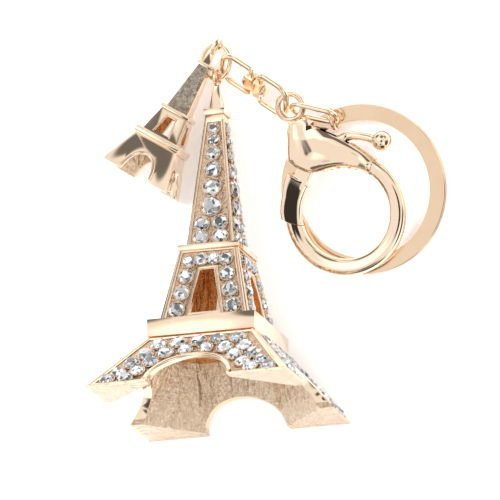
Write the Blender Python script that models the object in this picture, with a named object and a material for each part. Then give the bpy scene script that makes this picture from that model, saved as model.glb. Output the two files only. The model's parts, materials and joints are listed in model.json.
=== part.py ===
"""Key charm: a large stone-set lattice tower and a small plain tower on one jump ring,
a two-bail swivel, a round lobster clasp, an oval link, a small ring and a flat split key ring.

Lengths are in millimetres until solid() writes them in metres. The charm lies on a table:
+Z is up from the table, +Y runs from the big tower's base to the rings, +X runs to the key ring.
"""

from math import acos, atan2, cos, pi, radians, sin, sqrt

import bmesh
import bpy
from mathutils import Matrix, Vector

MM = 0.001

# ---- where the row frame's origin lies, measured in the layout coordinates below
ORIGIN = Vector((6.604, 2.015, 0.0))

# ---- big tower: (height, half width) of its square outline, base to finial
BIG_PROFILE = [
    (0.0, 20.0), (11.4, 10.3), (11.4, 10.6), (14.8, 10.6), (14.8, 8.7), (29.1, 5.7),
    (29.1, 6.0), (30.1, 6.0), (30.1, 4.6), (56.4, 1.75), (56.4, 2.05), (57.5, 2.05),
    (57.5, 1.25), (62.6, 0.5),
]
BIG_CAVITY = [(-1.0, 19.15, 26.6), (11.0, 8.9, 15.2), (14.8, 7.4, 13.6), (27.6, 4.4, 8.0)]
BIG_ARCH_HALF = 8.0
BIG_ARCH_TOP = 5.4
BIG_WINDOW = [(16.0, 3.15), (24.8, 1.35)]
BIG_LOOP_Z = 64.0
BIG_LOOP_R = 1.38
BIG_LOOP_WIRE = 0.5
BIG_BASE = Vector((-0.393, -29.14, 19.291))
BIG_YAW = 5.0
BIG_RECLINE = 15.3

# ---- panels that hold the stones
RECESS = 0.32
BED = 0.24
BED_GAP = 0.06
STONE_RISE = 0.42
STONE_SIDES = 8
SPIRE_STONES = [
    (0.0, 53.6, 0.85), (0.0, 51.2, 0.95), (0.0, 48.6, 1.1), (0.0, 45.4, 1.35), (0.0, 41.8, 1.55),
    (0.0, 38.0, 1.7), (-1.75, 34.5, 1.4), (1.75, 34.5, 1.4), (-1.9, 31.7, 1.3), (1.9, 31.7, 1.3),
]
WINDOW_STONES = [
    (-3.6, 26.7, 1.2), (-1.2, 27.0, 1.15), (1.2, 27.0, 1.15), (3.6, 26.7, 1.2),
    (-4.05, 23.6, 1.2), (4.05, 23.6, 1.2), (-4.75, 20.3, 1.3), (4.75, 20.3, 1.3),
    (-5.5, 16.9, 1.3), (5.5, 16.9, 1.3),
]
ARCH_STONES = [
    (0.0, 9.3, 1.35), (-3.9, 9.3, 1.35), (3.9, 9.3, 1.35), (-7.8, 9.3, 1.35), (7.8, 9.3, 1.35),
    (-2.0, 7.3, 1.15), (2.0, 7.3, 1.15), (-5.9, 7.0, 1.35), (5.9, 7.0, 1.35),
    (-9.8, 7.0, 1.35), (9.8, 7.0, 1.35), (-8.3, 4.9, 1.3), (8.3, 4.9, 1.3),
    (-12.0, 4.9, 1.35), (12.0, 4.9, 1.35), (-10.4, 2.9, 1.3), (10.4, 2.9, 1.3),
    (-14.1, 2.9, 1.35), (14.1, 2.9, 1.35), (-12.3, 1.35, 1.2), (12.3, 1.35, 1.2),
    (-15.9, 1.35, 1.2), (15.9, 1.35, 1.2),
]

# ---- small tower
SMALL_PROFILE = [
    (0.0, 6.8), (7.4, 4.35), (7.4, 4.7), (8.8, 4.7), (8.8, 3.7), (13.9, 2.7), (13.9, 3.0),
    (14.7, 3.0), (14.7, 2.2), (24.4, 1.1), (24.4, 1.45), (25.1, 1.45), (25.1, 0.8), (27.4, 0.5),
]
SMALL_CAVITY = [(-0.6, 6.1, 8.9), (7.3, 3.45, 5.6), (8.8, 2.95, 5.2), (13.0, 2.1, 3.7)]
SMALL_ARCH_HALF = 2.9
SMALL_ARCH_TOP = 4.5
SMALL_WINDOW = [(9.4, 1.6), (12.8, 1.0)]
SMALL_LOOP_Z = 29.0
SMALL_LOOP_R = 1.55
SMALL_LOOP_WIRE = 0.45
SMALL_BASE = Vector((-19.087, 13.166, 7.810))
SMALL_YAW = -27.975
SMALL_RECLINE = 10.368

# ---- jump ring
RING_CENTRE = Vector((-5.945, 35.391, 2.234))
RING_NORMAL = Vector((-0.3129, 0.0245, 0.9495))
RING_R = 3.2
RING_WIRE = 0.5

# ---- swivel
SWIVEL_CENTRE = Vector((2.306, 31.021, 4.032))
SWIVEL_AXIS = Vector((0.8490, -0.5075, 0.1472))
SWIVEL_UP = Vector((-0.0972, 0.1239, 0.9875))
UPPER_TWIST = 47.86
LOWER_TWIST = 50.44
BAIL_WIRE = 0.6
UPPER_BAIL = dict(width=6.8, length=8.0, end=2.9)
LOWER_BAIL = dict(width=7.8, length=7.5, end=2.4)
BLOCK_HALF = 2.2
BLOCK_THICK = 1.85
BLOCK_DEPTH = 1.15
SWIVEL_GAP = 0.24
RIVET_R = 0.7
RIVET_HEAD_R = 1.3
RUN_GAP = 0.05

# ---- clasp, in its own plane; the eye's centre is the plane's origin
EYE_CENTRE = Vector((9.5015, 26.884, 5.1))
CLASP_NORMAL = Vector((0.0120, -0.0300, 0.9995))
EYE_IN = 1.82
EYE_OUT = 3.02
EYE_HALF = 0.78
LOOP_CENTRE = (10.68, -19.93)
LOOP_R = 8.6
HOOK_OUT = 11.85
HOOK_HALF = 1.5
NOSE_ANGLE = -171.5
SHOULDER = [
    (-0.25, -2.25), (2.75, -1.95), (5.7, -3.2), (8.83, -4.85), (11.9, -6.5), (14.8, -8.45),
    (17.3, -10.4), (15.61, -12.89), (13.62, -11.85), (10.68, -11.33), (8.45, -11.62),
    (6.6, -12.2), (4.2, -13.0), (2.4, -12.5), (-0.64, -10.9), (-0.75, -8.5), (-0.62, -5.0),
]
SHOULDER_HALF = 1.85
PIVOT = (3.67, -9.96)
PIN_R = 0.7
SLOT_HALF = 1.05
SLOT_ARCS = [
    (23.5, 94.0, 12.0), (95.0, 181.0, 2.35), (182.0, 318.0, 9.0), (319.0, 357.0, 3.4),
    (358.0, 364.0, 2.6),
]
SEAM_R = 12.42  # the gate's tip and the nose meet on a circle round the pivot
SEAM_GAP = 0.1
PLATE_HALF = 0.95
GATE_IN = 8.75
GATE_OUT = 12.7
LEVER_KNEE = (10.5, -5.6)
BALL = (17.89, -6.39)
BALL_R = 1.95

# ---- oval link, small ring, key ring
LINK_CENTRE = Vector((14.170, 25.700, 4.974))
LINK_LONG = Vector((8.7877, -1.9361, -0.1666))
LINK_NORMAL = Vector((-0.1664, -0.8043, 0.5704))
LINK_LENGTH = 9.0
LINK_WIDTH = 3.5
LINK_WIRE = 0.53
SMALL_RING_CENTRE = Vector((17.066, 24.708, 2.767))
SMALL_RING_NORMAL = Vector((0.9338, 0.3464, -0.0899))
SMALL_RING_R = 2.35
SMALL_RING_WIRE = 0.4
KEY_CENTRE = Vector((22.8625, 11.468, 1.4758))
KEY_NORMAL = Vector((0.0213, -0.0401, 0.999))
KEY_OUT = 16.0
KEY_IN = 13.0
KEY_THICK = 1.5
KEY_SEAM = 0.14
KEY_SEAM_DEPTH = 0.35

ROSE_GOLD = (0.86, 0.62, 0.44, 1.0)
PALE_GOLD = (0.90, 0.70, 0.52, 1.0)
DARK_GOLD = (0.72, 0.46, 0.28, 1.0)
STEEL = (0.55, 0.55, 0.57, 1.0)
CRYSTAL = (0.90, 0.92, 0.95, 1.0)


# ---------------------------------------------------------------- plain mesh tools
def clear_scene():
    for old in list(bpy.data.objects):
        bpy.data.objects.remove(old, do_unlink=True)


def shape(points, faces):
    """A closed bmesh from points and faces, its normals pointing out."""
    bm = bmesh.new()
    verts = [bm.verts.new(p) for p in points]
    for face in faces:
        bm.faces.new([verts[i] for i in face])
    bmesh.ops.recalc_face_normals(bm, faces=bm.faces)
    return bm


def loft(rings, closed=False):
    """Skins a list of rings with as many points each, capped at both ends unless closed."""
    n = len(rings[0])
    points = [p for ring in rings for p in ring]
    faces = []
    steps = len(rings) if closed else len(rings) - 1
    for i in range(steps):
        a, b = i * n, ((i + 1) % len(rings)) * n
        for j in range(n):
            k = (j + 1) % n
            faces.append((a + j, a + k, b + k, b + j))
    if not closed:
        faces.append(tuple(reversed(range(n))))
        faces.append(tuple(range((len(rings) - 1) * n, len(rings) * n)))
    return shape(points, faces)


def prism(outline, low, high, axis="z"):
    """The outline's (a, b) points pushed along one axis."""
    def at(p, t):
        return {"z": (p[0], p[1], t), "y": (p[0], t, p[1]), "x": (t, p[0], p[1])}[axis]
    return loft([[at(p, low) for p in outline], [at(p, high) for p in outline]])


def circle(radius, count, start=0.0):
    return [
        (radius * cos(start + 2 * pi * i / count), radius * sin(start + 2 * pi * i / count))
        for i in range(count)
    ]


def tube(path, radius, count=8, closed=True, normal=Vector((0, 0, 1))):
    """A round wire along a path that stays near one plane with this normal."""
    rings = []
    n = len(path)
    for i, p in enumerate(path):
        before = path[i - 1] if closed or i else path[i]
        after = path[(i + 1) % n] if closed or i < n - 1 else path[i]
        tangent = (after - before).normalized()
        side = normal.cross(tangent).normalized()
        up = tangent.cross(side)
        rings.append(
            [p + side * a + up * b for a, b in circle(radius, count, pi / count)]
        )
    return loft(rings, closed)


def ring(radius, wire, count=32, sides=8):
    path = [Vector((x, y, 0)) for x, y in circle(radius, count)]
    return tube(path, wire, sides)


def rounded_loop(x0, x1, half, near, far, steps=5):
    """A closed rounded rectangle from x0 to x1, corner radii near and far."""
    points = []
    corners = [
        (x1 - far, half - far, far, pi / 2, 0), (x1 - far, -half + far, far, 0, -pi / 2),
        (x0 + near, -half + near, near, -pi / 2, -pi), (x0 + near, half - near, near, pi, pi / 2),
    ]
    for cx, cy, r, a, b in corners:
        for i in range(steps + 1):
            t = a + (b - a) * i / steps
            points.append(Vector((cx + r * cos(t), cy + r * sin(t), 0)))
    return points


def revolve(section, count=32):
    """Turns an (r, z) section about Z."""
    rings = [
        [(r * cos(t), r * sin(t), z) for r, z in section]
        for t in (2 * pi * i / count for i in range(count))
    ]
    return loft(rings, closed=True)


def cylinder(radius, low, high, count=20, at=(0.0, 0.0)):
    return prism([(at[0] + x, at[1] + y) for x, y in circle(radius, count)], low, high)


def ball(centre, radius, count=14):
    rings = []
    for i in range(1, count // 2):
        t = -pi / 2 + pi * i / (count // 2)
        rings.append(
            [
                (centre[0] + radius * cos(t) * x, centre[1] + radius * cos(t) * y,
                 radius * sin(t))
                for x, y in circle(1.0, count)
            ]
        )
    return loft(rings)


def scratch(bm, name="cutter"):
    """A mesh object in millimetres, used only to cut or join."""
    mesh = bpy.data.meshes.new(name)
    bmesh.ops.triangulate(bm, faces=bm.faces)
    bm.to_mesh(mesh)
    bm.free()
    obj = bpy.data.objects.new(name, mesh)
    bpy.context.scene.collection.objects.link(obj)
    obj.hide_render = True
    obj.display_type = "WIRE"
    return obj


def combine(base, other, operation):
    """base after one exact Boolean with other; other is used up."""
    modifier = base.modifiers.new("cut", "BOOLEAN")
    modifier.operation = operation
    modifier.solver = "EXACT"
    modifier.object = other
    bpy.context.view_layer.update()
    graph = bpy.context.evaluated_depsgraph_get()
    mesh = bpy.data.meshes.new_from_object(base.evaluated_get(graph))
    base.modifiers.clear()
    base.data = mesh
    bpy.data.objects.remove(other, do_unlink=True)
    return base


def cut(base, bm):
    return combine(base, scratch(bm), "DIFFERENCE")


def join(base, bm):
    return combine(base, scratch(bm), "UNION")


def facing(x_axis, z_axis):
    """A rotation whose X and Z columns follow these axes."""
    z = Vector(z_axis).normalized()
    x = Vector(x_axis)
    x = (x - z * x.dot(z)).normalized()
    return Matrix((x, z.cross(x), z)).transposed().to_4x4()


def finish(obj, name, matrix, colour, metallic, roughness, pivot=None, flat=False):
    """Names a body, sets its origin to the pivot (in its own millimetres) and places it."""
    mesh = obj.data
    pivot = Vector(pivot or (0, 0, 0))
    mesh.transform(Matrix.Translation(-pivot))
    mesh.transform(Matrix.Scale(MM, 4))
    bm = bmesh.new()
    bm.from_mesh(mesh)
    bmesh.ops.remove_doubles(bm, verts=bm.verts, dist=2e-7)
    bmesh.ops.dissolve_degenerate(bm, edges=bm.edges, dist=2e-7)
    bmesh.ops.triangulate(bm, faces=bm.faces)
    bm.to_mesh(mesh)
    bm.free()
    obj.name = name
    mesh.name = name
    obj.hide_render = False
    obj.display_type = "TEXTURED"
    shift = Matrix.Translation(-ORIGIN)
    world = shift @ matrix @ Matrix.Translation(pivot)
    world.translation = world.translation * MM
    obj.matrix_world = world
    material = bpy.data.materials.new(name)
    material.use_nodes = True
    shader = material.node_tree.nodes["Principled BSDF"]
    shader.inputs["Base Color"].default_value = colour
    shader.inputs["Metallic"].default_value = metallic
    shader.inputs["Roughness"].default_value = roughness
    material.diffuse_color = colour
    mesh.materials.clear()
    mesh.materials.append(material)
    if not flat:
        mesh.set_sharp_from_angle(angle=radians(35))
    return obj


# ---------------------------------------------------------------- towers
def tower_matrix(base, yaw, recline):
    """A tower lying on its back: its own +Z is its axis, its own -Y face looks up."""
    a, b = radians(yaw), radians(recline)
    z = Vector((-sin(a) * cos(b), cos(a) * cos(b), -sin(b)))
    return Matrix.Translation(base) @ facing((cos(a), sin(a), 0.0), z)


def square(half, z):
    return [(-half, -half, z), (half, -half, z), (half, half, z), (-half, half, z)]


def octagon(half, total, z):
    """A square of this half width whose corners are cut where |x| + |y| reaches total."""
    b = total - half
    return [
        (half, -b, z), (half, b, z), (b, half, z), (-b, half, z),
        (-half, b, z), (-half, -b, z), (-b, -half, z), (b, -half, z),
    ]


def arch_outline(half, top, depth, steps=16):
    points = [(-half, -depth)]
    points += [
        (-half * cos(pi * i / steps), top * sin(pi * i / steps)) for i in range(steps + 1)
    ]
    return points + [(half, -depth)]


def trapezoid(low, high):
    return [(-low[1], low[0]), (low[1], low[0]), (high[1], high[0]), (-high[1], high[0])]


def tower_shell(profile, cavity, arch_half, arch_top, window, loop):
    """The hollow casting with its arches, windows and hanging loop."""
    reach = profile[0][1] + 2
    body = scratch(loft([square(half, z) for z, half in profile]), "tower")
    cut(body, loft([octagon(half, total, z) for z, half, total in cavity]))
    for axis in ("x", "y"):
        cut(body, prism(arch_outline(arch_half, arch_top, 2.0), -reach, reach, axis))
        cut(body, prism(trapezoid(*window), -reach, reach, axis))
    radius, wire, height = loop
    path = [Vector((0, x, y + height)) for x, y in circle(radius, 24)]
    join(body, tube(path, wire, 8, True, Vector((1, 0, 0))))
    return body


def half_at(profile, z):
    """Half width of the outline between the two sloping points around z."""
    for (z0, h0), (z1, h1) in zip(profile, profile[1:]):
        if z1 > z0 and z0 - 1e-6 <= z <= z1 + 1e-6 and h0 > h1:
            return h0 + (h1 - h0) * (z - z0) / (z1 - z0)
    return profile[0][1]


def face_frame(z0, z1):
    """Origin, up and outward vectors of the front (-Y) face between two heights."""
    h0, h1 = half_at(BIG_PROFILE, z0), half_at(BIG_PROFILE, z1)
    length = sqrt((h0 - h1) ** 2 + (z1 - z0) ** 2)
    up = Vector((0, (h0 - h1) / length, (z1 - z0) / length))
    out = Vector((0, -(z1 - z0) / length, (h0 - h1) / length))
    return Vector((0, -h0, z0)), up, out, (z1 - z0) / length


PANELS = {
    "spire": dict(z=(30.1, 56.4), stones=SPIRE_STONES),
    "window": dict(z=(14.8, 29.1), stones=WINDOW_STONES),
    "arch": dict(z=(0.0, 11.4), stones=ARCH_STONES),
}


def panel_outline(kind, grow):
    """The recess's outline as (x, height) points; grow > 0 makes it larger."""
    def edge(z, inset):
        return half_at(BIG_PROFILE, z) - inset + grow
    if kind == "spire":
        low, high = 30.55 - grow, 54.9 + grow
        return [(-edge(30.6, 0.6), low), (edge(30.6, 0.6), low),
                (edge(54.8, 0.55), high), (-edge(54.8, 0.55), high)]
    if kind == "window":
        low, top = 15.3 - grow, 28.6 + grow
        rim = 0.7 - grow
        return [
            (-edge(15.4, 1.1), low), (-BIG_WINDOW[0][1] - rim, low),
            (-BIG_WINDOW[1][1] - rim, BIG_WINDOW[1][0] + rim),
            (BIG_WINDOW[1][1] + rim, BIG_WINDOW[1][0] + rim),
            (BIG_WINDOW[0][1] + rim, low), (edge(15.4, 1.1), low),
            (edge(28.5, 0.8), top), (-edge(28.5, 0.8), top),
        ]
    low, top = 0.55 - grow, 10.6 + grow
    a, b = BIG_ARCH_HALF + 1.1 - grow, BIG_ARCH_TOP + 0.9 - grow
    start = acos(0.0) - atan2(sqrt(b * b - low * low), low)
    arc = []
    for i in range(15):
        t = pi - start - (pi - 2 * start) * i / 14
        arc.append((a * cos(t), max(b * sin(t), low)))
    arc[0] = (arc[0][0], low)
    arc[-1] = (arc[-1][0], low)
    return [(-edge(0.6, 1.3), low)] + arc + [
        (edge(0.6, 1.3), low), (edge(10.6, 0.93), top), (-edge(10.6, 0.93), top)
    ]


def on_face(frame, x, z, lift):
    origin, up, out, rise = frame
    return origin + up * ((z - origin.z) / rise) + Vector((x, 0, 0)) + out * lift


def panel_prism(kind, grow, low, high):
    frame = face_frame(*PANELS[kind]["z"])
    outline = panel_outline(kind, grow)
    return loft([[on_face(frame, x, z, lift) for x, z in outline] for lift in (low, high)])


def stone(frame, x, z, radius, low, high):
    """An eight-sided stone: a girdle, a crown and a small flat table."""
    origin, up, out, rise = frame
    centre = on_face(frame, x, z, 0.0)
    rings = []
    for lift, r in ((low, radius), (low + 0.2, radius), (high, radius * 0.55)):
        rings.append(
            [
                centre + Vector((a, 0, 0)) + up * b + out * lift
                for a, b in circle(r, STONE_SIDES, pi / STONE_SIDES)
            ]
        )
    return loft(rings)


def quarter_turn(count):
    """A rotation about Z by whole quarters, with exact zeros and ones."""
    c, t = ((1, 0), (0, 1), (-1, 0), (0, -1))[count % 4]
    return Matrix(((c, -t, 0, 0), (t, c, 0, 0), (0, 0, 1, 0), (0, 0, 0, 1)))


def append(target, extra):
    """Adds a separate body's faces to a cutter; extra is used up."""
    mesh = bpy.data.meshes.new("extra")
    extra.to_mesh(mesh)
    extra.free()
    target.from_mesh(mesh)
    bpy.data.meshes.remove(mesh)


def big_tower():
    place = tower_matrix(BIG_BASE, BIG_YAW, BIG_RECLINE)
    body = tower_shell(
        BIG_PROFILE, BIG_CAVITY, BIG_ARCH_HALF, BIG_ARCH_TOP, BIG_WINDOW,
        (BIG_LOOP_R, BIG_LOOP_WIRE, BIG_LOOP_Z),
    )
    pivot = (0, 0, BIG_LOOP_Z)
    recesses = bmesh.new()
    for quarter in range(4):
        for kind in PANELS:
            recess = panel_prism(kind, 0.0, -RECESS, 0.57)
            recess.transform(quarter_turn(quarter))
            append(recesses, recess)
    cut(body, recesses)
    for quarter, side in enumerate(("front", "right", "back", "left")):
        turn = quarter_turn(quarter)
        for kind in PANELS:
            bed = scratch(panel_prism(kind, -BED_GAP, -RECESS + BED_GAP, -RECESS + BED_GAP + BED))
            frame = face_frame(*PANELS[kind]["z"])
            low = -RECESS + BED_GAP + 0.1
            for x, z, radius in PANELS[kind]["stones"]:
                join(bed, stone(frame, x, z, radius - 0.08, low, STONE_RISE))
            bed.data.transform(turn)
            finish(bed, f"stones_{kind}_{side}", place, CRYSTAL, 0.0, 0.05, pivot, True)
    finish(body, "tower_casting", place, ROSE_GOLD, 1.0, 0.2, pivot)


def small_tower():
    place = tower_matrix(SMALL_BASE, SMALL_YAW, SMALL_RECLINE)
    body = tower_shell(
        SMALL_PROFILE, SMALL_CAVITY, SMALL_ARCH_HALF, SMALL_ARCH_TOP, SMALL_WINDOW,
        (SMALL_LOOP_R, SMALL_LOOP_WIRE, SMALL_LOOP_Z),
    )
    finish(body, "small_tower_charm", place, ROSE_GOLD, 1.0, 0.15, (0, 0, SMALL_LOOP_Z))


# ---------------------------------------------------------------- rings and swivel
def jump_ring():
    place = Matrix.Translation(RING_CENTRE) @ facing(SWIVEL_AXIS, RING_NORMAL)
    finish(scratch(ring(RING_R, RING_WIRE)), "charm_jump_ring", place, PALE_GOLD, 1.0, 0.15,
           (RING_R, 0, 0))


def bail(width, length, end, way):
    """A closed wire loop with the swivel's block in its near bar; way is +1 or -1 along X."""
    half = width / 2
    near = SWIVEL_GAP / 2 + BLOCK_THICK / 2
    path = [Vector((p.x * way, p.y, 0)) for p in rounded_loop(near, length, half, 0.9, end)]
    body = scratch(tube(path, BAIL_WIRE, 8))
    inner, outer = SWIVEL_GAP / 2, SWIVEL_GAP / 2 + BLOCK_THICK
    low, high = sorted((inner * way, outer * way))
    c = 0.25
    outline = [
        (-BLOCK_HALF + c, -BLOCK_DEPTH), (BLOCK_HALF - c, -BLOCK_DEPTH),
        (BLOCK_HALF, -BLOCK_DEPTH + c), (BLOCK_HALF, BLOCK_DEPTH - c),
        (BLOCK_HALF - c, BLOCK_DEPTH), (-BLOCK_HALF + c, BLOCK_DEPTH),
        (-BLOCK_HALF, BLOCK_DEPTH - c), (-BLOCK_HALF, -BLOCK_DEPTH + c),
    ]
    join(body, prism(outline, low, high, "x"))
    cut(body, prism(circle(RIVET_R + RUN_GAP, 20), low - 1, high + 1, "x"))
    return body


def swivel():
    base = Matrix.Translation(SWIVEL_CENTRE) @ facing(SWIVEL_AXIS, SWIVEL_UP)
    upper = base @ Matrix.Rotation(radians(UPPER_TWIST), 4, "X")
    lower = base @ Matrix.Rotation(radians(LOWER_TWIST), 4, "X")
    finish(bail(way=-1, **UPPER_BAIL), "swivel_upper_bail", upper, PALE_GOLD, 1.0, 0.15)
    finish(bail(way=1, **LOWER_BAIL), "swivel_lower_bail", lower, PALE_GOLD, 1.0, 0.15,
           (LOWER_BAIL["length"], 0, 0))
    face = SWIVEL_GAP / 2 + BLOCK_THICK + RUN_GAP
    rings = []
    for x, r in (
        (-face - 0.75, 0.85), (-face - 0.5, RIVET_HEAD_R), (-face, RIVET_HEAD_R), (-face, RIVET_R),
        (face, RIVET_R), (face, RIVET_HEAD_R), (face + 0.5, RIVET_HEAD_R), (face + 0.75, 0.85),
    ):
        rings.append([(x, a, b) for a, b in circle(r, 20)])
    finish(scratch(loft(rings)), "swivel_rivet", lower, ROSE_GOLD, 1.0, 0.15)


# ---------------------------------------------------------------- clasp
def clasp_matrix():
    return Matrix.Translation(EYE_CENTRE) @ facing((1, 0, 0), CLASP_NORMAL)


def inset(outline, distance):
    """The outline with each corner moved inwards."""
    moved = []
    n = len(outline)
    area = sum(
        outline[i][0] * outline[(i + 1) % n][1] - outline[(i + 1) % n][0] * outline[i][1]
        for i in range(n)
    )
    turn = 1 if area > 0 else -1
    for i in range(n):
        a, b, c = (Vector(outline[(i + k) % n]) for k in (-1, 0, 1))
        u, v = (b - a).normalized(), (c - b).normalized()
        nu, nv = Vector((-u.y, u.x)) * turn, Vector((-v.y, v.x)) * turn
        m = (nu + nv).normalized()
        moved.append(tuple(b + m * distance / max(m.dot(nu), 0.5)))
    return moved


def shoulder_half(y):
    """Half thickness: thin where the neck meets the eye, full from the pivot down."""
    t = min(max((-y - 2.0) / 4.0, 0.0), 1.0)
    return 0.85 + (SHOULDER_HALF - 0.85) * t


def polar(angle, radius):
    a = radians(angle)
    return (LOOP_CENTRE[0] + radius * cos(a), LOOP_CENTRE[1] + radius * sin(a))


def band_section(angle, inner, outer, half, corner=0.55):
    """A rounded rectangle across the loop's band at this angle."""
    c, d = corner * (outer - inner) / 3.2, corner
    section = [
        (inner + c, -half), (outer - c, -half), (outer, -half + d), (outer, half - d),
        (outer - c, half), (inner + c, half), (inner, half - d), (inner, -half + d),
    ]
    rows = []
    for r, z in section:
        x, y = polar(angle, r)
        rows.append((x, y, z))
    return rows


def hook():
    rings = []
    steps = 44
    for i in range(steps + 1):
        angle = 60.0 + (NOSE_ANGLE - 60.0) * i / steps
        swell = max(0.0, (angle - 20.0) / 40.0)
        outer = HOOK_OUT - 0.25 * swell
        rings.append(band_section(angle, LOOP_R, outer, HOOK_HALF))
    return loft(rings)


def slot_outline(centre, arcs):
    """A star-shaped outline round the pivot: each arc is (start, stop, radius) in degrees."""
    points = []
    for start, stop, radius in arcs:
        steps = max(2, int((stop - start) / 12))
        for i in range(steps + 1):
            a = radians(start + (stop - start) * i / steps)
            points.append((centre[0] + radius * cos(a), centre[1] + radius * sin(a)))
    return points


def seam_cutter(low, high):
    """A block between two circles round the pivot, across the gate's tip."""
    outline = []
    for radius, angles in ((high, range(236, 281, 4)), (low, range(280, 235, -4))):
        for angle in angles:
            a = radians(angle)
            outline.append((PIVOT[0] + radius * cos(a), PIVOT[1] + radius * sin(a)))
    return prism(outline, -2.5, 2.5)


def clasp_body():
    rows = []
    for share, distance in ((-1.0, 1.0), (-0.72, 0.32), (0.0, 0.0), (0.72, 0.32), (1.0, 1.0)):
        outline = inset(SHOULDER, distance)
        rows.append([(x, y, share * shoulder_half(y)) for x, y in outline])
    body = scratch(loft(rows), "clasp")
    nose = scratch(hook(), "nose")
    cut(nose, seam_cutter(8.5, SEAM_R + SEAM_GAP / 2))
    combine(body, nose, "UNION")
    cut(body, cylinder(EYE_IN + 0.12, -2.0, 2.0, 26))
    c = 0.35
    join(body, revolve([
        (EYE_IN + c, -EYE_HALF), (EYE_OUT - c, -EYE_HALF), (EYE_OUT, -EYE_HALF + c),
        (EYE_OUT, EYE_HALF - c), (EYE_OUT - c, EYE_HALF), (EYE_IN + c, EYE_HALF),
        (EYE_IN, EYE_HALF - c), (EYE_IN, -EYE_HALF + c),
    ], 28))
    slot = slot_outline(PIVOT, SLOT_ARCS)
    cut(body, prism(slot, -SLOT_HALF, SLOT_HALF))
    cut(body, cylinder(PIN_R + RUN_GAP, -3.0, 3.0, 20, PIVOT))
    finish(body, "clasp_body", clasp_matrix(), ROSE_GOLD, 1.0, 0.08)


def gate():
    """Plate on the pin, the curved gate below it, and the thumb lever with its ball."""
    angles = [197.0 - 51.5 * i / 13 for i in range(14)]
    rings = []
    for i, angle in enumerate(angles):
        outer = GATE_OUT + 1.0 * max(0.0, (165.0 - angle) / 20.0)
        rings.append(band_section(angle, GATE_IN, outer, HOOK_HALF))
    body = scratch(loft(rings), "gate")
    cut(body, seam_cutter(SEAM_R - SEAM_GAP / 2, 17.0))
    px, py = PIVOT
    plate = [
        (px - 2.6, py - 5.2), (px + 1.4, py - 5.6), (px + 1.9, py - 0.6), (px + 1.2, py + 1.45),
        (px - 0.4, py + 1.9), (px - 1.7, py + 0.9), (px - 2.1, py - 1.2), (px - 3.1, py - 3.4),
    ]
    join(body, prism(plate, -PLATE_HALF, PLATE_HALF))
    kx, ky = LEVER_KNEE
    arm = [(px + 0.6, py - 0.9), (kx + 0.3, ky - 0.9), (kx + 0.5, ky + 0.75), (px - 0.3, py + 1.4)]
    join(body, prism(arm, -PLATE_HALF + 0.02, PLATE_HALF - 0.02))
    path = [Vector((kx - 0.9, ky - 0.35, 0)), Vector((kx + 2.0, ky + 0.25, 0)),
            Vector((kx + 4.6, ky, 0)), Vector((BALL[0], BALL[1], 0))]
    join(body, tube(path, 0.85, 10, False))
    join(body, ball(BALL, BALL_R))
    cut(body, cylinder(PIN_R + RUN_GAP, -3.0, 3.0, 20, PIVOT))
    cut(body, cylinder(1.85, 0.3, 1.3, 24, PIVOT))
    finish(body, "clasp_gate", clasp_matrix(), ROSE_GOLD, 1.0, 0.08, (px, py, 0))


def pivot_pin():
    rings = []
    for z, r in ((-1.8, PIN_R - 0.15), (-1.65, PIN_R), (1.65, PIN_R), (1.8, PIN_R - 0.15)):
        rings.append([(PIVOT[0] + x, PIVOT[1] + y, z) for x, y in circle(r, 20)])
    finish(scratch(loft(rings)), "gate_pivot_pin", clasp_matrix(), STEEL, 1.0, 0.3,
           (PIVOT[0], PIVOT[1], 0))


def gate_spring():
    """A flat two-turn torsion coil round the pin, in the plate's pocket."""
    path = []
    for i in range(41):
        t = 4 * pi * i / 40
        r = 0.98 + 0.56 * i / 40
        path.append(Vector((PIVOT[0] + r * cos(t), PIVOT[1] + r * sin(t), 0.66)))
    finish(scratch(tube(path, 0.16, 6, False)), "gate_spring", clasp_matrix(), STEEL, 1.0, 0.3,
           (PIVOT[0], PIVOT[1], 0))


# ---------------------------------------------------------------- link, small ring, key ring
def oval_link():
    half = LINK_WIDTH / 2
    path = rounded_loop(-LINK_LENGTH / 2, LINK_LENGTH / 2, half, half, half, 7)
    path = [p for i, p in enumerate(path) if (p - path[i - 1]).length > 0.01]
    place = Matrix.Translation(LINK_CENTRE) @ facing(LINK_LONG, LINK_NORMAL)
    finish(scratch(tube(path, LINK_WIRE, 8)), "oval_link", place, PALE_GOLD, 1.0, 0.15,
           (-LINK_LENGTH / 2, 0, 0))


def small_ring():
    place = Matrix.Translation(SMALL_RING_CENTRE) @ facing((0, 0, 1), SMALL_RING_NORMAL)
    finish(scratch(ring(SMALL_RING_R, SMALL_RING_WIRE)), "small_jump_ring", place, PALE_GOLD,
           1.0, 0.15)


def key_ring():
    h, s, d = KEY_THICK / 2, KEY_SEAM / 2, KEY_SEAM_DEPTH
    section = [
        (KEY_IN, -h), (KEY_OUT, -h), (KEY_OUT, -s), (KEY_OUT - d, -s), (KEY_OUT - d, s),
        (KEY_OUT, s), (KEY_OUT, h), (KEY_IN, h), (KEY_IN, s), (KEY_IN + d, s),
        (KEY_IN + d, -s), (KEY_IN, -s),
    ]
    place = Matrix.Translation(KEY_CENTRE) @ facing((1, 0, 0), KEY_NORMAL)
    finish(scratch(revolve(section, 56)), "key_ring", place, PALE_GOLD, 1.0, 0.1)


def main():
    clear_scene()
    big_tower()
    small_tower()
    jump_ring()
    swivel()
    clasp_body()
    gate()
    pivot_pin()
    gate_spring()
    oval_link()
    small_ring()
    key_ring()


main()
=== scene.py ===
"""The looks of a keychain charm.

A stone-set lattice tower, a small plain one, a swivel, a clasp and a key ring.
"""

import json
from math import cos, exp, pi, radians, sin, sqrt
import bmesh
import bpy
import numpy as np
from mathutils import Matrix, Vector, geometry

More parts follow.
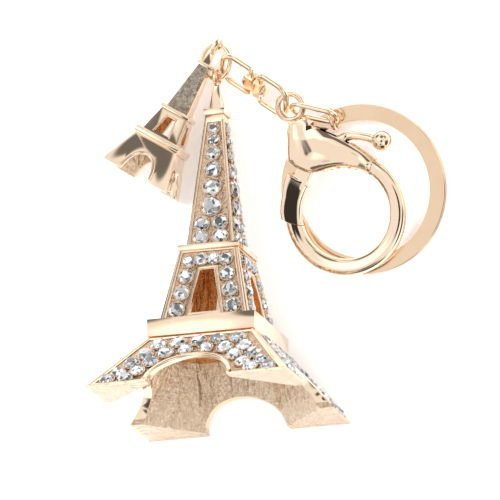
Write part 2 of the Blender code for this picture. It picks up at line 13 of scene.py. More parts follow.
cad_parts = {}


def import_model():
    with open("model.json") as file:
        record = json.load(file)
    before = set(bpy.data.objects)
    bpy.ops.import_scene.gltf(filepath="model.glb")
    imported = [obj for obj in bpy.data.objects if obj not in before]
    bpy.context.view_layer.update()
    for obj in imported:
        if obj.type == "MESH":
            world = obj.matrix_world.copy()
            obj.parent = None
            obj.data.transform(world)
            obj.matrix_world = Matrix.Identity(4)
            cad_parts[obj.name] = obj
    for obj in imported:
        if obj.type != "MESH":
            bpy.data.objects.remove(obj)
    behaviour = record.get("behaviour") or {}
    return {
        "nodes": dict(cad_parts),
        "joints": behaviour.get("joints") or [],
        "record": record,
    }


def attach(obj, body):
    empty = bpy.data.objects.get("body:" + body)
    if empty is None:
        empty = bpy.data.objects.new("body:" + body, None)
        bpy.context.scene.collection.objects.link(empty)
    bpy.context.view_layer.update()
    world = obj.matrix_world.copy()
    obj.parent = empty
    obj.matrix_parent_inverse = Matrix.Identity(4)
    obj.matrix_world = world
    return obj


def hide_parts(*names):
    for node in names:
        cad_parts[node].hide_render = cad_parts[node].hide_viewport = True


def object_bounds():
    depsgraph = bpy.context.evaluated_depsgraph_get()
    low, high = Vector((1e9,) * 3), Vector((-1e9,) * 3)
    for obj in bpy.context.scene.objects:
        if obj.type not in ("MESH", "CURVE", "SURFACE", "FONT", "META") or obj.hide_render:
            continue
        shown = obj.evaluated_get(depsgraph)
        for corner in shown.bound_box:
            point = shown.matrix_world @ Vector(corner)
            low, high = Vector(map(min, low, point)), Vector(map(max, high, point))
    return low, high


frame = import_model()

MM = 0.001
NODES = frame["nodes"]
JOINTS = {j["name"]: j for j in frame["joints"]}
MOUNTS = {m["name"]: m for m in frame["record"]["mounts"]}
cad_low, cad_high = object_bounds()


# ---------------------------------------------------------------- frames read from the CAD
def axes_matrix(x, z, at):
    """A placement in metres for geometry in millimetres, its X and Z along these axes."""
    z = Vector(z).normalized()
    x = Vector(x)
    x = (x - z * x.dot(z)).normalized()
    y = z.cross(x)
    turn = Matrix((x, y, z)).transposed().to_4x4()
    return Matrix.Translation(Vector(at)) @ turn @ Matrix.Scale(MM, 4)


def corners(name):
    return np.array([v.co for v in NODES[name].data.vertices], float).reshape(-1, 3)


def flat_frame(name, x_hint=None):
    """A flat loop's own frame: its centre, its longest way as X and its normal as Z."""
    points = corners(name)
    centre = points.mean(0)
    _, _, ways = np.linalg.svd(points - centre, full_matrices=False)
    normal = Vector(ways[2])
    if normal.z < 0:
        normal = -normal
    return axes_matrix(x_hint or Vector(ways[0]), normal, centre)


def centroid(name):
    """The solid's centre of volume."""
    mesh = NODES[name].data
    mesh.calc_loop_triangles()
    points = corners(name)
    faces = np.array([t.vertices for t in mesh.loop_triangles])
    a, b, c = points[faces[:, 0]], points[faces[:, 1]], points[faces[:, 2]]
    six = np.einsum("ij,ij->i", a, np.cross(b, c))
    return Vector(((a + b + c) * six[:, None]).sum(0) / (4 * six.sum()))


def joint_at(name):
    return Vector(JOINTS[name]["pos_m"])


def joint_axis(name):
    return Vector(JOINTS[name]["axis"]).normalized()


BIG_TOP, SMALL_TOP = 64.0, 29.0
big_z = -Vector(MOUNTS["tower_foot"]["axis"])
big_x = joint_axis("big_tower_on_ring")
BIG = axes_matrix(big_x, big_z, joint_at("big_tower_on_ring") - big_z.normalized() * BIG_TOP * MM)
small_x = joint_axis("small_tower_on_ring")
small_z = (joint_at("small_tower_on_ring") - centroid("small_tower_charm")).normalized()
small_z = (small_z - small_x * small_z.dot(small_x)).normalized()
SMALL = axes_matrix(small_x, small_z, joint_at("small_tower_on_ring") - small_z * SMALL_TOP * MM)
CLASP = axes_matrix((1, 0, 0), joint_axis("gate_hinge"), joint_at("link_in_eye"))
swivel_axis = joint_axis("swivel_turn")
upper_side = joint_axis("charm_ring_on_bail")
lower_side = joint_axis("swivel_in_eye")
UPPER = axes_matrix(swivel_axis, swivel_axis.cross(upper_side), joint_at("swivel_turn"))
LOWER = axes_matrix(swivel_axis, swivel_axis.cross(lower_side), joint_at("swivel_turn"))
RING = flat_frame("charm_jump_ring", swivel_axis)
SMALL_RING = flat_frame("small_jump_ring")
KEY = flat_frame("key_ring", Vector((1, 0, 0)))
LINK = flat_frame("oval_link")


# ---------------------------------------------------------------- mesh tools, in millimetres
def to_bmesh(points, faces):
    bm = bmesh.new()
    verts = [bm.verts.new(p) for p in points]
    for face in faces:
        bm.faces.new([verts[i] for i in face])
    bmesh.ops.recalc_face_normals(bm, faces=bm.faces)
    return bm


def loft(rings, closed=False):
    """A skin over rings of points, capped at both ends unless it closes on itself."""
    n = len(rings[0])
    points = [p for ring in rings for p in ring]
    faces = []
    steps = len(rings) if closed else len(rings) - 1
    for i in range(steps):
        a, b = i * n, ((i + 1) % len(rings)) * n
        for j in range(n):
            k = (j + 1) % n
            faces.append((a + j, a + k, b + k, b + j))
    if not closed:
        faces.append(tuple(reversed(range(n))))
        faces.append(tuple(range((len(rings) - 1) * n, len(rings) * n)))
    return to_bmesh(points, faces)


def circle(radius, count, start=0.0):
    """Points evenly round a circle."""
    return [
        (radius * cos(start + 2 * pi * i / count), radius * sin(start + 2 * pi * i / count))
        for i in range(count)
    ]


def prism(outline, low, high):
    """A flat outline made solid between two heights."""
    return loft([[(x, y, low) for x, y in outline], [(x, y, high) for x, y in outline]])


def tube(path, radius, sides=16, closed=True, normal=Vector((0, 0, 1))):
    """A wire along a path near one plane, which the normal belongs to."""
    rings = []
    n = len(path)
    for i, p in enumerate(path):
        before = path[i - 1] if closed or i else path[i]
        after = path[(i + 1) % n] if closed or i < n - 1 else path[i]
        tangent = (after - before).normalized()
        side = normal.cross(tangent).normalized()
        up = tangent.cross(side)
        r = radius[i] if isinstance(radius, list) else radius
        rings.append([p + side * a + up * b for a, b in circle(r, sides)])
    return loft(rings, closed)


def rounded_loop(x0, x1, half, near, far):
    """A closed path round a long loop, its corners rounded by near at x0 and far at x1."""
    points = []
    steps = 14
    parts = [
        (x1 - far, half - far, far, pi / 2, 0), (x1 - far, -half + far, far, 0, -pi / 2),
        (x0 + near, -half + near, near, -pi / 2, -pi), (x0 + near, half - near, near, pi, pi / 2),
    ]
    for cx, cy, r, a, b in parts:
        for i in range(steps + 1):
            t = a + (b - a) * i / steps
            p = Vector((cx + r * cos(t), cy + r * sin(t), 0))
            if not points or (p - points[-1]).length > 0.02:
                points.append(p)
    if (points[0] - points[-1]).length < 0.02:
        points.pop()
    spread = []
    for i, p in enumerate(points):
        q = points[(i + 1) % len(points)]
        pieces = max(1, int((q - p).length / 0.5))
        spread += [p.lerp(q, k / pieces) for k in range(pieces)]
    return spread


def revolve(section, count):
    """A section of radii and heights turned right round."""
    return loft(
        [
            [(r * cos(t), r * sin(t), z) for r, z in section]
            for t in (2 * pi * i / count for i in range(count))
        ],
        closed=True,
    )


def merge(*parts):
    """One bmesh from several; the parts are used up."""
    whole = bmesh.new()
    for part in parts:
        mesh = bpy.data.meshes.new("part")
        part.to_mesh(mesh)
        part.free()
        whole.from_mesh(mesh)
        bpy.data.meshes.remove(mesh)
    return whole


def piece(bm, name, place, material, body, smooth=True, angle=40, replaces=()):
    """A shown piece from a millimetre bmesh, riding a body."""
    mesh = bpy.data.meshes.new(name)
    bm.to_mesh(mesh)
    bm.free()
    mesh.transform(place)
    obj = bpy.data.objects.new(name, mesh)
    bpy.context.scene.collection.objects.link(obj)
    for used in material if isinstance(material, (list, tuple)) else [material]:
        mesh.materials.append(used)
    if smooth:
        mesh.polygons.foreach_set("use_smooth", [True] * len(mesh.polygons))
        mesh.set_sharp_from_angle(angle=radians(angle))
    else:
        mesh.polygons.foreach_set("use_smooth", [False] * len(mesh.polygons))
    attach(obj, body)
    if replaces:
        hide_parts(*replaces)


def evaluated(obj):
    """A fresh mesh of the object with its modifiers applied."""
    bpy.context.view_layer.update()
    graph = bpy.context.evaluated_depsgraph_get()
    return bpy.data.meshes.new_from_object(obj.evaluated_get(graph))


def temporary(bm, name):
    """An object that only carries modifiers and is removed again."""
    mesh = bpy.data.meshes.new(name)
    bm.to_mesh(mesh)
    bm.free()
    obj = bpy.data.objects.new(name, mesh)
    bpy.context.scene.collection.objects.link(obj)
    return obj


VOXEL = 0.13


def fused(bm, rounds, cutters):
    """The overlapping shells as one skin with softened joins, after the cuts."""
    obj = temporary(bm, "fused")
    remesh = obj.modifiers.new("remesh", "REMESH")
    remesh.mode = "VOXEL"
    remesh.voxel_size = VOXEL
    relax = obj.modifiers.new("relax", "SMOOTH")
    relax.factor = 0.5
    relax.iterations = rounds
    helpers = []
    for cutter in cutters:
        other = temporary(cutter, "cutter")
        helpers.append(other)
        knife = obj.modifiers.new("cut", "BOOLEAN")
        knife.operation = "DIFFERENCE"
        knife.solver = "FAST"
        knife.object = other
    mesh = evaluated(obj)
    bpy.data.objects.remove(obj, do_unlink=True)
    for other in helpers:
        bpy.data.objects.remove(other, do_unlink=True)
    made = bmesh.new()
    made.from_mesh(mesh)
    bpy.data.meshes.remove(mesh)
    return made


# ---------------------------------------------------------------- materials
def material(name):
    mat = bpy.data.materials.new(name)
    mat.use_nodes = True
    nodes, links = mat.node_tree.nodes, mat.node_tree.links
    shader = nodes["Principled BSDF"]
    where = nodes.new("ShaderNodeTexCoord").outputs["Object"]
    return mat, nodes, links, shader, where


def blotches(nodes, links, where, scale, detail=4.0, rough=0.55):
    """Noise in metres: scale is in features to the metre."""
    noise_node = nodes.new("ShaderNodeTexNoise")
    noise_node.inputs["Scale"].default_value = scale
    noise_node.inputs["Detail"].default_value = detail
    noise_node.inputs["Roughness"].default_value = rough
    links.new(where, noise_node.inputs["Vector"])
    return noise_node.outputs["Fac"]


def spread(nodes, links, value, low, high, start=0.3, stop=0.7):
    """A value between start and stop, mapped to between low and high."""
    ranged = nodes.new("ShaderNodeMapRange")
    ranged.inputs["From Min"].default_value = start
    ranged.inputs["From Max"].default_value = stop
    ranged.inputs["To Min"].default_value = low
    ranged.inputs["To Max"].default_value = high
    links.new(value, ranged.inputs["Value"])
    return ranged.outputs["Result"]


def two_tone(nodes, links, value, first, second, start=0.35, stop=0.65):
    """One colour fading into another as the value rises."""
    ramp = nodes.new("ShaderNodeValToRGB")
    ramp.color_ramp.elements[0].position = start
    ramp.color_ramp.elements[0].color = (*first, 1)
    ramp.color_ramp.elements[1].position = stop
    ramp.color_ramp.elements[1].color = (*second, 1)
    links.new(value, ramp.inputs["Fac"])
    return ramp.outputs["Color"]


def bump(nodes, links, value, distance, strength, shader):
    node = nodes.new("ShaderNodeBump")
    node.inputs["Distance"].default_value = distance
    node.inputs["Strength"].default_value = strength
    links.new(value, node.inputs["Height"])
    links.new(node.outputs["Normal"], shader.inputs["Normal"])


def gold(name, first, second, low, high, wave=0.00002, strength=0.05, scale=260):
    """Plated metal: its tone, its polish and its surface drift slightly from place to place."""
    mat, nodes, links, shader, where = material(name)
    shader.inputs["Metallic"].default_value = 1.0
    drift = blotches(nodes, links, where, scale)
    fine = blotches(nodes, links, where, scale * 9, 3.0)
    links.new(two_tone(nodes, links, drift, first, second), shader.inputs["Base Color"])
    links.new(spread(nodes, links, fine, low, high), shader.inputs["Roughness"])
    bump(nodes, links, drift, wave, strength, shader)
    return mat


def rough_cast(name, first, second):
    """The unpolished inside of a casting: pits, and striations down the wall."""
    mat, nodes, links, shader, where = material(name)
    shader.inputs["Metallic"].default_value = 1.0
    pits = blotches(nodes, links, where, 1500, 5.0, 0.7)
    total = pits
    for scale, weight in (((420, 75, 300), 5.0), ((1700, 260, 1200), 1.6)):
        stretch = nodes.new("ShaderNodeMapping")
        stretch.inputs["Scale"].default_value = scale
        links.new(where, stretch.inputs["Vector"])
        lines = nodes.new("ShaderNodeTexNoise")
        lines.inputs["Scale"].default_value = 1.0
        lines.inputs["Detail"].default_value = 2.0
        lines.inputs["Distortion"].default_value = 0.6
        links.new(stretch.outputs["Vector"], lines.inputs["Vector"])
        added = nodes.new("ShaderNodeMath")
        added.operation = "MULTIPLY_ADD"
        added.inputs[1].default_value = weight
        links.new(lines.outputs["Fac"], added.inputs[0])
        links.new(total, added.inputs[2])
        total = added.outputs[0]
    links.new(two_tone(nodes, links, pits, first, second), shader.inputs["Base Color"])
    links.new(spread(nodes, links, pits, 0.16, 0.3), shader.inputs["Roughness"])
    bump(nodes, links, total, 0.00045, 0.8, shader)
    return mat


def crystal(name):
    """Cut glass over foil, with painted reflections: each facet's way picks a painted glint or a
    painted dark reflection as its colour, over a clear coat.
    """
    mat, nodes, links, shader, where = material(name)
    geometry = nodes.new("ShaderNodeNewGeometry")
    wide = nodes.new("ShaderNodeVectorMath")
    wide.operation = "SCALE"
    wide.inputs["Scale"].default_value = 9.0
    links.new(geometry.outputs["True Normal"], wide.inputs[0])
    place = nodes.new("ShaderNodeVectorMath")
    place.operation = "SCALE"
    place.inputs["Scale"].default_value = 520.0
    links.new(where, place.inputs[0])
    total = nodes.new("ShaderNodeVectorMath")
    total.operation = "ADD"
    links.new(wide.outputs[0], total.inputs[0])
    links.new(place.outputs[0], total.inputs[1])
    facet = nodes.new("ShaderNodeTexVoronoi")
    facet.inputs["Scale"].default_value = 1.7
    links.new(total.outputs[0], facet.inputs["Vector"])
    grey = nodes.new("ShaderNodeSeparateColor")
    links.new(facet.outputs["Color"], grey.inputs["Color"])
    # painted glints and dark reflections: the facet's pick, from near black through greys to white,
    # becomes its colour
    ramp = nodes.new("ShaderNodeValToRGB")
    ramp.color_ramp.interpolation = "LINEAR"
    ramp.color_ramp.elements[0].position = 0.0
    ramp.color_ramp.elements[0].color = (0.03, 0.03, 0.035, 1)
    ramp.color_ramp.elements[1].position = 1.0
    ramp.color_ramp.elements[1].color = (1.0, 1.0, 1.0, 1)
    for position, level in ((0.16, 0.10), (0.38, 0.34), (0.7, 0.66)):
        step = ramp.color_ramp.elements.new(position)
        step.color = (level, level * 1.005, level * 1.02, 1)
    links.new(grey.outputs["Red"], ramp.inputs["Fac"])
    links.new(ramp.outputs["Color"], shader.inputs["Base Color"])
    links.new(spread(nodes, links, grey.outputs["Green"], 0.03, 0.09, 0, 1),
              shader.inputs["Roughness"])
    shader.inputs["Metallic"].default_value = 0.35
    shader.inputs["IOR"].default_value = 1.7
    shader.inputs["Coat Weight"].default_value = 0.7
    shader.inputs["Coat Roughness"].default_value = 0.02
    return mat


POLISHED = gold("rose_gold_polished", (0.92, 0.71, 0.52), (0.95, 0.76, 0.57), 0.05, 0.11)
SATIN = gold("rose_gold_pave", (0.84, 0.60, 0.41), (0.93, 0.72, 0.53), 0.12, 0.24,
             wave=0.00015, strength=0.7, scale=900)
MIRROR = gold("rose_gold_mirror", (0.92, 0.71, 0.52), (0.94, 0.75, 0.57), 0.03, 0.07,
              wave=0.00001, strength=0.02, scale=140)
WIRE = gold("pale_gold_wire", (0.93, 0.73, 0.52), (0.95, 0.77, 0.57), 0.05, 0.12)
BAND = gold("pale_gold_band", (0.83, 0.61, 0.415), (0.87, 0.65, 0.45), 0.10, 0.17,
            wave=0.00001, strength=0.03, scale=120)
CAST = rough_cast("rose_gold_rough", (0.72, 0.52, 0.36), (0.95, 0.77, 0.58))
# painted shade: a darker, deep orange cast for the inside high up in the towers, standing for shade
# and the orange reflection between the gold walls there
SHADE_PAINTED_CAST = rough_cast("rose_gold_painted_shade", (0.62, 0.27, 0.08), (0.86, 0.46, 0.19))
PAVE = gold("rose_gold_panel", (0.80, 0.55, 0.36), (0.93, 0.72, 0.53), 0.15, 0.28,
            wave=0.0006, strength=1.0, scale=1500)
# painted reflection: a near-black to grey colour standing for the dark reflection on the small tower's
# front spire, over a gritty bump
DARK_REFLECTION_GRIT = rough_cast("gritty_spire_painted_dark_reflection", (0.24, 0.20, 0.16), (0.66, 0.57, 0.46))
STEEL = gold("steel", (0.60, 0.59, 0.57), (0.70, 0.68, 0.66), 0.18, 0.3)
STONE = crystal("cut_stone")


# ---------------------------------------------------------------- towers
def cleaned(name, place):
    """A CAD node's shape in its own millimetres, its flat faces whole again."""
    bm = bmesh.new()
    bm.from_mesh(NODES[name].data)
    bm.transform(place.inverted())
    bmesh.ops.remove_doubles(bm, verts=bm.verts, dist=2e-3)
    bmesh.ops.dissolve_limit(
        bm, angle_limit=radians(0.6), use_dissolve_boundaries=False,
        verts=bm.verts, edges=bm.edges,
    )
    return bm


# a tower's material slots: outside, rough inside, the higher inside with painted shade and a painted
# orange reflection, and fourth the big tower's panels or the small one's front spire, gritty and
# darkened by a painted dark reflection
OUTER, ROUGH_INSIDE, SHADED_INSIDE, SET_PANEL, DARK_REFLECTION_SPIRE = 0, 1, 2, 3, 3


def mark_faces(bm, profile, wall, foot, deep, panels=False):
    """Gives the faces inside the shell, under the feet and in the set panels their own slots; inside
    faces above the height deep take the slot of painted shade.
    """
    for face in bm.faces:
        c = face.calc_center_median()
        n = face.normal
        reach = max(abs(c.x), abs(c.y))
        face.material_index = OUTER
        if c.z > profile[-1][0]:
            continue
        outer = profile[0][1]
        for (z0, h0), (z1, h1) in zip(profile, profile[1:]):
            if z0 <= c.z <= z1 and z1 > z0:
                outer = h0 + (h1 - h0) * (c.z - z0) / (z1 - z0)
        inward = n.x * c.x + n.y * c.y < 0 and reach < outer - wall
        # inside faces above the height deep get the painted shade and painted orange reflection, the
        # lower ones the rough cast
        if inward or (n.z < -0.9 and c.z < foot):
            face.material_index = SHADED_INSIDE if c.z > deep else ROUGH_INSIDE
        elif panels and n.x * c.x + n.y * c.y > 0:
            recess = outline_half(profile, c.z) - reach
            if 0.12 < recess < 1.0 and abs(n.z) < 0.9 and max(abs(n.x), abs(n.y)) > 0.6:
                face.material_index = SET_PANEL


def softened(bm, name, width):
    """The same shape with its edges rounded."""
    obj = temporary(bm, name)
    for used in (POLISHED, CAST, SHADE_PAINTED_CAST, DARK_REFLECTION_GRIT):
        obj.data.materials.append(used)
    bevel = obj.modifiers.new("bevel", "BEVEL")
    bevel.width = width
    bevel.segments = 2
    bevel.limit_method = "ANGLE"
    bevel.angle_limit = radians(28)
    bevel.use_clamp_overlap = True
    mesh = evaluated(obj)
    bpy.data.objects.remove(obj, do_unlink=True)
    made = bmesh.new()
    made.from_mesh(mesh)
    bpy.data.meshes.remove(mesh)
    return made


def outline_half(profile, z):
    """Half the tower's width at a height."""
    for (z0, h0), (z1, h1) in zip(profile, profile[1:]):
        if z1 > z0 and z0 - 1e-6 <= z <= z1 + 1e-6 and h0 > h1:
            return h0 + (h1 - h0) * (z - z0) / (z1 - z0)
    return profile[0][1]


# each tower's outline: heights and half widths, from the feet up
BIG_PROFILE = [
    (0.0, 20.0), (11.4, 10.3), (11.4, 10.6), (14.8, 10.6), (14.8, 8.7), (29.1, 5.7),
    (29.1, 6.0), (30.1, 6.0), (30.1, 4.6), (56.4, 1.75), (56.4, 2.05), (57.5, 2.05),
    (57.5, 1.25), (62.6, 0.5),
]
SMALL_PROFILE = [
    (0.0, 6.8), (7.4, 4.35), (7.4, 4.7), (8.8, 4.7), (8.8, 3.7), (13.9, 2.7), (13.9, 3.0),
    (14.7, 3.0), (14.7, 2.2), (24.4, 1.1), (24.4, 1.45), (25.1, 1.45), (25.1, 0.8), (27.4, 0.5),
]


def face_plane(profile, z0, z1):
    """A point, the way up, the way out and the rise of the front face between two heights."""
    h0, h1 = outline_half(profile, z0), outline_half(profile, z1)
    length = sqrt((h0 - h1) ** 2 + (z1 - z0) ** 2)
    up = Vector((0, (h0 - h1) / length, (z1 - z0) / length))
    out = Vector((0, -(z1 - z0) / length, (h0 - h1) / length))
    return Vector((0, -h0, z0)), up, out, (z1 - z0) / length


def on_plane(plane, x, z, lift):
    """The point of a face at this x and height, lifted off it."""
    origin, up, out, rise = plane
    return origin + up * ((z - origin.z) / rise) + Vector((x, 0, 0)) + out * lift


def turned(bm, quarter):
    """The same shape, some quarter turns round the tower."""
    bm.transform(Matrix.Rotation(quarter * pi / 2, 4, "Z"))
    return bm


def bead_run(points, radius, normal):
    """A raised round rim through these points, its corners kept."""
    path = []
    for a, b in zip(points, points[1:]):
        pieces = max(1, int((b - a).length / 0.7))
        path += [a.lerp(b, k / pieces) for k in range(pieces)]
    path.append(points[-1])
    return tube(path, radius, 10, False, normal)


def arch_points(plane, half, top, low, lift):
    """An arch drawn on a face, from its left foot over the top to its right one."""
    points = []
    steps = 28
    for i in range(steps + 1):
        t = pi - pi * i / steps
        z = top * sin(t)
        if z >= low:
            points.append(on_plane(plane, half * cos(t), z, lift))
    return points


def rims():
    """The raised smooth borders round the set panels of the big tower."""
    parts = []
    spire = face_plane(BIG_PROFILE, 30.1, 56.4)
    window = face_plane(BIG_PROFILE, 14.8, 29.1)
    arch = face_plane(BIG_PROFILE, 0.0, 11.4)
    for quarter in range(4):
        for side in (-1, 1):
            def edge(z, inset):
                return side * (outline_half(BIG_PROFILE, z) - inset)
            runs = [
                (spire, [(edge(30.6, 0.32), 30.5), (edge(54.9, 0.28), 55.3)], 0.21),
                (window, [(edge(15.2, 0.55), 15.0), (edge(28.6, 0.42), 28.9)], 0.3),
                (arch, [(edge(0.25, 0.6), 0.35), (edge(11.0, 0.5), 11.1)], 0.3),
                (arch, [(side * 9.0, 0.3), (edge(0.3, 0.9), 0.3)], 0.24),
            ]
            for plane, ends, radius in runs:
                points = [on_plane(plane, x, z, -0.12) for x, z in ends]
                parts.append(turned(bead_run(points, radius, normal=plane[2]), quarter))
        sill = [(-3.5, 15.0), (-1.68, 25.15), (1.68, 25.15), (3.5, 15.0)]
        points = [on_plane(window, x, z, -0.06) for x, z in sill]
        parts.append(turned(bead_run(points, 0.27, normal=window[2]), quarter))
        points = arch_points(arch, 8.45, 5.85, 0.4, -0.05)
        parts.append(turned(bead_run(points, 0.42, normal=arch[2]), quarter))
        for plane, x, z in ((spire, 4.1, 30.35), (window, 7.9, 15.05), (window, 5.2, 28.85),
                            (arch, 9.9, 11.0)):
            points = [on_plane(plane, -x, z, -0.16), on_plane(plane, x, z, -0.16)]
            parts.append(turned(bead_run(points, 0.2, normal=plane[2]), quarter))
    return merge(*parts)


def tables(name, place):
    """The centre, radius and outward way of each stone's flat table, found on the CAD."""
    bm = cleaned(name, place)
    found = []
    for face in bm.faces:
        if len(face.verts) != 8:
            continue
        c = face.calc_center_median()
        reach = [(v.co - c).length for v in face.verts]
        if max(reach) - min(reach) < 0.06 and max(reach) < 1.2:
            found.append((c.copy(), sum(reach) / 8, face.normal.copy()))
    bm.free()
    return found


def brilliant(centre, radius, out, spin):
    """A cut stone's crown and girdle: table, eight kites, and the facets under them."""
    side = out.orthogonal().normalized()
    up = out.cross(side)

    def row(r, lift, count, start):
        return [centre + side * a + up * b + out * lift for a, b in circle(r, count, start)]

    table = row(radius * 0.56, radius * 0.40, 8, spin)
    kite = row(radius * 0.80, radius * 0.24, 8, spin + pi / 8)
    girdle = row(radius, 0.0, 16, spin)
    base = row(radius * 0.97, -radius * 0.32, 16, spin)
    points = table + kite + girdle + base
    faces = [tuple(range(8))]
    for i in range(8):
        j = (i + 1) % 8
        k, m, g = 8 + i, 16 + 2 * i, 16 + (2 * i + 1) % 16
        n = 16 + (2 * i + 2) % 16
        before = 8 + (i - 1) % 8
        faces += [(i, k, j), (k, m, g), (k, g, n), (i, before, m), (i, m, k)]
    for i in range(16):
        j = (i + 1) % 16
        faces.append((16 + i, 32 + i, 32 + j, 16 + j))
    return to_bmesh(points, faces)


def grain(centre, radius, rows=5, around=8):
    """A small ball."""
    rings = []
    for i in range(1, rows):
        t = -pi / 2 + pi * i / rows
        rings.append([
            (centre.x + radius * cos(t) * x, centre.y + radius * cos(t) * y,
             centre.z + radius * sin(t))
            for x, y in circle(1.0, around)
        ])
    return loft(rings)


TABLE_SHARE = 0.55  # a CAD stone's table against its girdle
STONE_RISE = 0.42  # a CAD stone's table above the tower's face
GRAIN_R, GRAIN_OUT = 0.2, 0.07  # a grain's radius and its gap from the stone's edge
SEAT_WIRE = 0.1


def dress_panel(kind, side):
    """The set stones and the small metal grains that hold them."""
    name = f"stones_{kind}_{side}"
    stones, grains, seats = [], [], []
    found = tables(name, BIG)
    for index, (c, r, out) in enumerate(found):
        near = min((c - other[0]).length for other in found if other[0] != c)
        girdle = r / TABLE_SHARE
        radius = max(min(girdle + 0.3, 0.5 * near + 0.04), girdle)
        seat = c - out * STONE_RISE
        stones.append(brilliant(seat + out * 0.14, radius, out, 0.3 + 0.71 * index))
        side_way = out.orthogonal().normalized()
        up = out.cross(side_way)
        for a, b in circle(radius + GRAIN_OUT, 4, 0.5 + 0.4 * index):
            grains.append(grain(seat + side_way * a + up * b + out * 0.16, GRAIN_R))
        rim = circle(radius + GRAIN_OUT, 20)
        path = [seat + side_way * a + up * b - out * 0.02 for a, b in rim]
        seats.append(tube(path, SEAT_WIRE, 6, True, out))
    piece(merge(*stones), f"crystals_{kind}_{side}", BIG, STONE, "big_tower",
          smooth=False, replaces=[name])
    piece(merge(*grains, *seats), f"grains_{kind}_{side}", BIG, SATIN, "big_tower")


def big_tower():
    """The large charm: its casting, the rims and the set panels."""
    bm = cleaned("tower_casting", BIG)
    mark_faces(bm, BIG_PROFILE, wall=1.1, foot=0.4, deep=11.0, panels=True)
    body = softened(bm, "tower", 0.14)
    piece(body, "tower_shell", BIG, [POLISHED, CAST, SHADE_PAINTED_CAST, PAVE], "big_tower", angle=32,
          replaces=["tower_casting"])
    piece(rims(), "tower_rims", BIG, POLISHED, "big_tower", angle=50)
    for side in ("front", "right", "back", "left"):
        for kind in ("spire", "window", "arch"):
            dress_panel(kind, side)


SPIRE_LOW, SPIRE_HIGH = 15.2, 24.0


def small_tower():
    """The small charm, its spire gritty on the front and darkened there by a painted dark reflection.
    """
    bm = cleaned("small_tower_charm", SMALL)
    mark_faces(bm, SMALL_PROFILE, wall=0.7, foot=0.3, deep=7.0)
    body = softened(bm, "small", 0.1)
    # the front faces of the spire take the grit with the painted dark reflection
    for face in body.faces:
        c = face.calc_center_median()
        if SPIRE_LOW < c.z < SPIRE_HIGH and c.y < -0.5 and abs(c.x) < abs(c.y):
            face.material_index = DARK_REFLECTION_SPIRE
    piece(body, "small_tower_shell", SMALL, [POLISHED, CAST, SHADE_PAINTED_CAST, DARK_REFLECTION_GRIT], "small_tower", angle=32,
          replaces=["small_tower_charm"])
    parts = []
    arch = face_plane(SMALL_PROFILE, 0.0, 7.4)
    window = face_plane(SMALL_PROFILE, 8.8, 13.9)
    for quarter in range(4):
        points = arch_points(arch, 3.15, 4.75, 0.2, 0.0)
        parts.append(turned(bead_run(points, 0.36, normal=arch[2]), quarter))
        opening = [(-1.75, 9.2), (-1.05, 13.0), (1.05, 13.0), (1.75, 9.2)]
        points = [on_plane(window, x, z, 0.0) for x, z in opening]
        parts.append(turned(bead_run(points, 0.16, normal=window[2]), quarter))
        for z, half in ((7.75, 4.72), (8.45, 4.72), (14.3, 3.02), (24.75, 1.47)):
            points = [Vector((-half, -half, z)), Vector((half, -half, z))]
            parts.append(turned(bead_run(points, 0.13, normal=Vector((0, -1, 0))), quarter))
    piece(merge(*parts), "small_tower_rims", SMALL, POLISHED, "small_tower", angle=50)


# ---------------------------------------------------------------- wires and swivel
BAIL_WIRE = 0.57
CHARM_RING_R, CHARM_RING_WIRE = 3.2, 0.47
SMALL_RING_R, SMALL_RING_WIRE = 2.35, 0.4
LINK_HALF, LINK_ROUND, LINK_WIRE = 4.5, 1.75, 0.5
BLOCK = dict(half=2.2, thick=1.85, depth=1.15, chamfer=0.34, lip=0.12)
GAP = 0.24


def block(way):
    """A bail's flat end with its edges cut off, to the left or right of the swivel's middle."""
    inner, outer = GAP / 2, GAP / 2 + BLOCK["thick"]
    h, d, c = BLOCK["half"], BLOCK["depth"], BLOCK["chamfer"]
    section = [
        (-h + c, -d), (h - c, -d), (h, -d + c), (h, d - c), (h - c, d), (-h + c, d),
        (-h, d - c), (-h, -d + c),
    ]
    e = BLOCK["lip"]
    rows = []
    for x, shrink in ((inner, 0.9), (inner + e, 1.0), (outer - e, 1.0), (outer, 0.9)):
        rows.append([(x * way, a * shrink, b * shrink) for a, b in section])
    return loft(rows)


def bail(width, length, end, way):
    """A bent wire loop and its block."""
    near = GAP / 2 + BLOCK["thick"] / 2
    path = [Vector((p.x * way, p.y, 0)) for p in rounded_loop(near, length, width / 2, 0.9, end)]
    return merge(tube(path, BAIL_WIRE, 20), block(way))


def swivel():
    """The two bails, turning on the rivet whose domed heads show."""
    piece(bail(width=6.8, length=8.0, end=2.9, way=-1), "swivel_upper_wire", UPPER, WIRE, "upper_bail",
          replaces=["swivel_upper_bail"])
    piece(bail(width=7.8, length=7.5, end=2.4, way=1), "swivel_lower_wire", LOWER, WIRE, "lower_bail",
          replaces=["swivel_lower_bail"])
    face = GAP / 2 + BLOCK["thick"] + 0.05
    section = [(-face, 0.7), (-face, 1.22), (-face - 0.1, 1.3), (-face - 0.36, 1.26),
               (-face - 0.58, 1.02), (-face - 0.71, 0.62), (-face - 0.75, 0.2)]
    rows = [(x, r) for x, r in reversed(section)] + [(-x, r) for x, r in section]
    rings = [[(x, a, b) for a, b in circle(r, 32)] for x, r in rows]
    piece(loft(rings), "swivel_rivet_dome", LOWER, MIRROR, "lower_bail",
          replaces=["swivel_rivet"])


